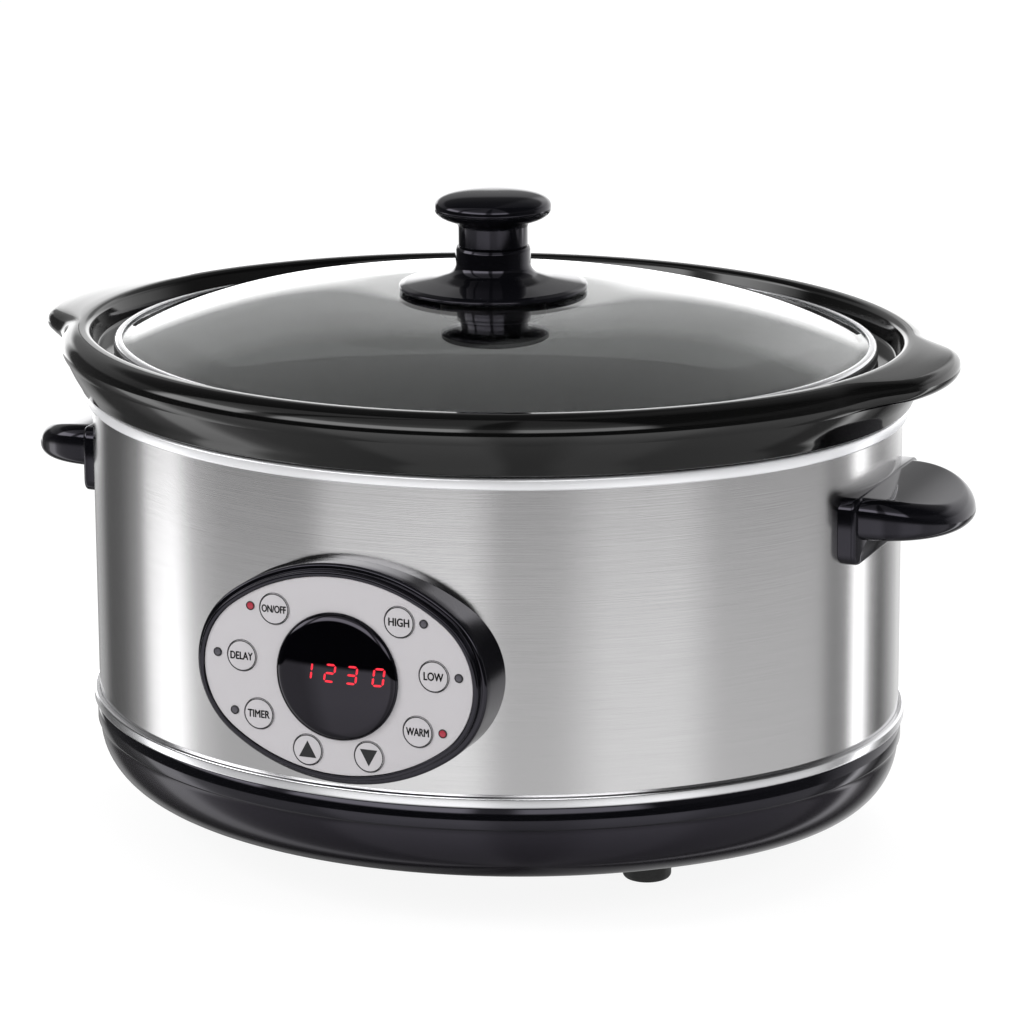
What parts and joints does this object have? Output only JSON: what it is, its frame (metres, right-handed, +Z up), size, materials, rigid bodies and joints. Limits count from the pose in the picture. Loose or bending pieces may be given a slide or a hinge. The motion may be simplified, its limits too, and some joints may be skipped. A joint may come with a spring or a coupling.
{
  "type": "electric slow cooker",
  "caption": "Oval countertop slow cooker: brushed steel body, lift-out black stoneware crock, domed glass lid with a knob, side handles and a digital control pod.",
  "frame": {"origin": "On the table, under the centre of the oval, where the feet stand", "axes": "X along the long side between the handles, Y from the control pod at the front to the cord gland at the back, Z up"},
  "size_m": [0.398, 0.3172, 0.2611],
  "materials": {
    "brushed_shell": "brushed along the wall, satin",
    "polished_trim": "polished",
    "gloss_black": "moulded, high gloss",
    "plain_steel": "plain sheet",
    "feet_rubber": "matt",
    "zinc_steel": "zinc plated",
    "well_aluminium": "pressed sheet",
    "heater_mica": "mica and glass cloth wrap",
    "glass_fibre": "glass-fibre felt",
    "fascia_silver": "fine satin",
    "button_silver": "fine satin",
    "display_window": "dark tinted, high gloss",
    "display_module": "dark, with lit digits",
    "lamp_red": "tinted lamp",
    "board_green": "circuit board",
    "inner_black": "moulded",
    "glazed_stoneware": "black glazed ceramic",
    "lid_glass": "clear tempered glass"
  },
  "bodies": {
    "base": {"outer_shell": "brushed_shell", "top_trim_ring": "polished_trim", "bottom_trim_ring": "polished_trim", "base_pan": "gloss_black", "bottom_plate": "plain_steel", "rubber_feet": "feet_rubber", "foot_screws": "zinc_steel", "heating_well": "well_aluminium", "heating_band": "heater_mica", "insulation_wrap": "glass_fibre", "tie_stud": "zinc_steel", "tie_nut": "zinc_steel", "temperature_sensor": "well_aluminium", "thermal_fuse": "heater_mica", "left_handle": "gloss_black", "right_handle": "gloss_black", "handle_screws": "zinc_steel", "control_pod": "gloss_black", "pod_retainer": "plain_steel", "fascia_plate": "fascia_silver", "display_lens": "display_window", "display_module": "display_module", "indicator_lamps": "lamp_red", "control_board": "board_green", "tact_switches": "inner_black", "board_screws": "zinc_steel", "power_board": "board_green", "power_parts": "inner_black", "power_spacers": "zinc_steel", "cord_gland": "inner_black", "gland_nut": "inner_black"},
    "power_key": {"power_button": "button_silver"},
    "delay_key": {"delay_button": "button_silver"},
    "timer_key": {"timer_button": "button_silver"},
    "up_key": {"up_button": "button_silver"},
    "down_key": {"down_button": "button_silver"},
    "warm_key": {"warm_button": "button_silver"},
    "low_key": {"low_button": "button_silver"},
    "high_key": {"high_button": "button_silver"},
    "crock": {"crock": "glazed_stoneware"},
    "lid": {"lid_glass": "lid_glass", "lid_ring": "polished_trim", "knob_head": "gloss_black", "knob_skirt": "gloss_black", "knob_washer": "inner_black", "knob_screw": "zinc_steel"}
  },
  "joints": [
    {"name": "power_press", "type": "slide", "parent": "base", "child": "power_key", "axis": [0, 1, 0], "range_m": [0, 0.0005], "stiffness_N_per_m": 400, "springref_m": -0.0006},
    {"name": "delay_press", "type": "slide", "parent": "base", "child": "delay_key", "axis": [0, 1, 0], "range_m": [0, 0.0005], "stiffness_N_per_m": 400, "springref_m": -0.0006},
    {"name": "timer_press", "type": "slide", "parent": "base", "child": "timer_key", "axis": [0, 1, 0], "range_m": [0, 0.0005], "stiffness_N_per_m": 400, "springref_m": -0.0006},
    {"name": "up_press", "type": "slide", "parent": "base", "child": "up_key", "axis": [0, 1, 0], "range_m": [0, 0.0005], "stiffness_N_per_m": 400, "springref_m": -0.0006},
    {"name": "down_press", "type": "slide", "parent": "base", "child": "down_key", "axis": [0, 1, 0], "range_m": [0, 0.0005], "stiffness_N_per_m": 400, "springref_m": -0.0006},
    {"name": "warm_press", "type": "slide", "parent": "base", "child": "warm_key", "axis": [0, 1, 0], "range_m": [0, 0.0005], "stiffness_N_per_m": 400, "springref_m": -0.0006},
    {"name": "low_press", "type": "slide", "parent": "base", "child": "low_key", "axis": [0, 1, 0], "range_m": [0, 0.0005], "stiffness_N_per_m": 400, "springref_m": -0.0006},
    {"name": "high_press", "type": "slide", "parent": "base", "child": "high_key", "axis": [0, 1, 0], "range_m": [0, 0.0005], "stiffness_N_per_m": 400, "springref_m": -0.0006},
    {"name": "crock_lift", "type": "slide", "parent": "base", "child": "crock", "axis": [0, 0, 1], "range_m": [0, 0.14]},
    {"name": "lid_lift", "type": "slide", "parent": "crock", "child": "lid", "axis": [0, 0, 1], "range_m": [0, 0.06]}
  ]
}
